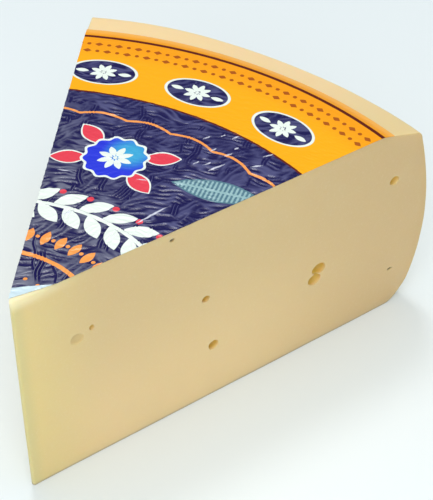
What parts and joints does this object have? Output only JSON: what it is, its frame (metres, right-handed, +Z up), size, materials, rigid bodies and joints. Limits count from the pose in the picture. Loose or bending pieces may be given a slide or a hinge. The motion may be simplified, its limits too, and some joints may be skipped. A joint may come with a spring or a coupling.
{
  "type": "raclette cheese wedge",
  "caption": "Wedge cut from a round raclette cheese wheel, with a bowed rind at the rim, small round eyes on the cut sides and a crinkled printed label over the top.",
  "frame": {"origin": "on the table under the middle of the wedge's box", "axes": "+Y from the tip towards the rim, +Z up, the printed side on top"},
  "size_m": [0.1232, 0.1434, 0.0723],
  "materials": {
    "cheese": "smooth, slightly waxy cut cheese with a thin pale rind round the rim and under the foot",
    "label": "glossy printed film, orange round the rim and navy inside, finely crinkled"
  },
  "bodies": {
    "root": {"cheese": "cheese", "label": "label"}
  },
  "joints": []
}
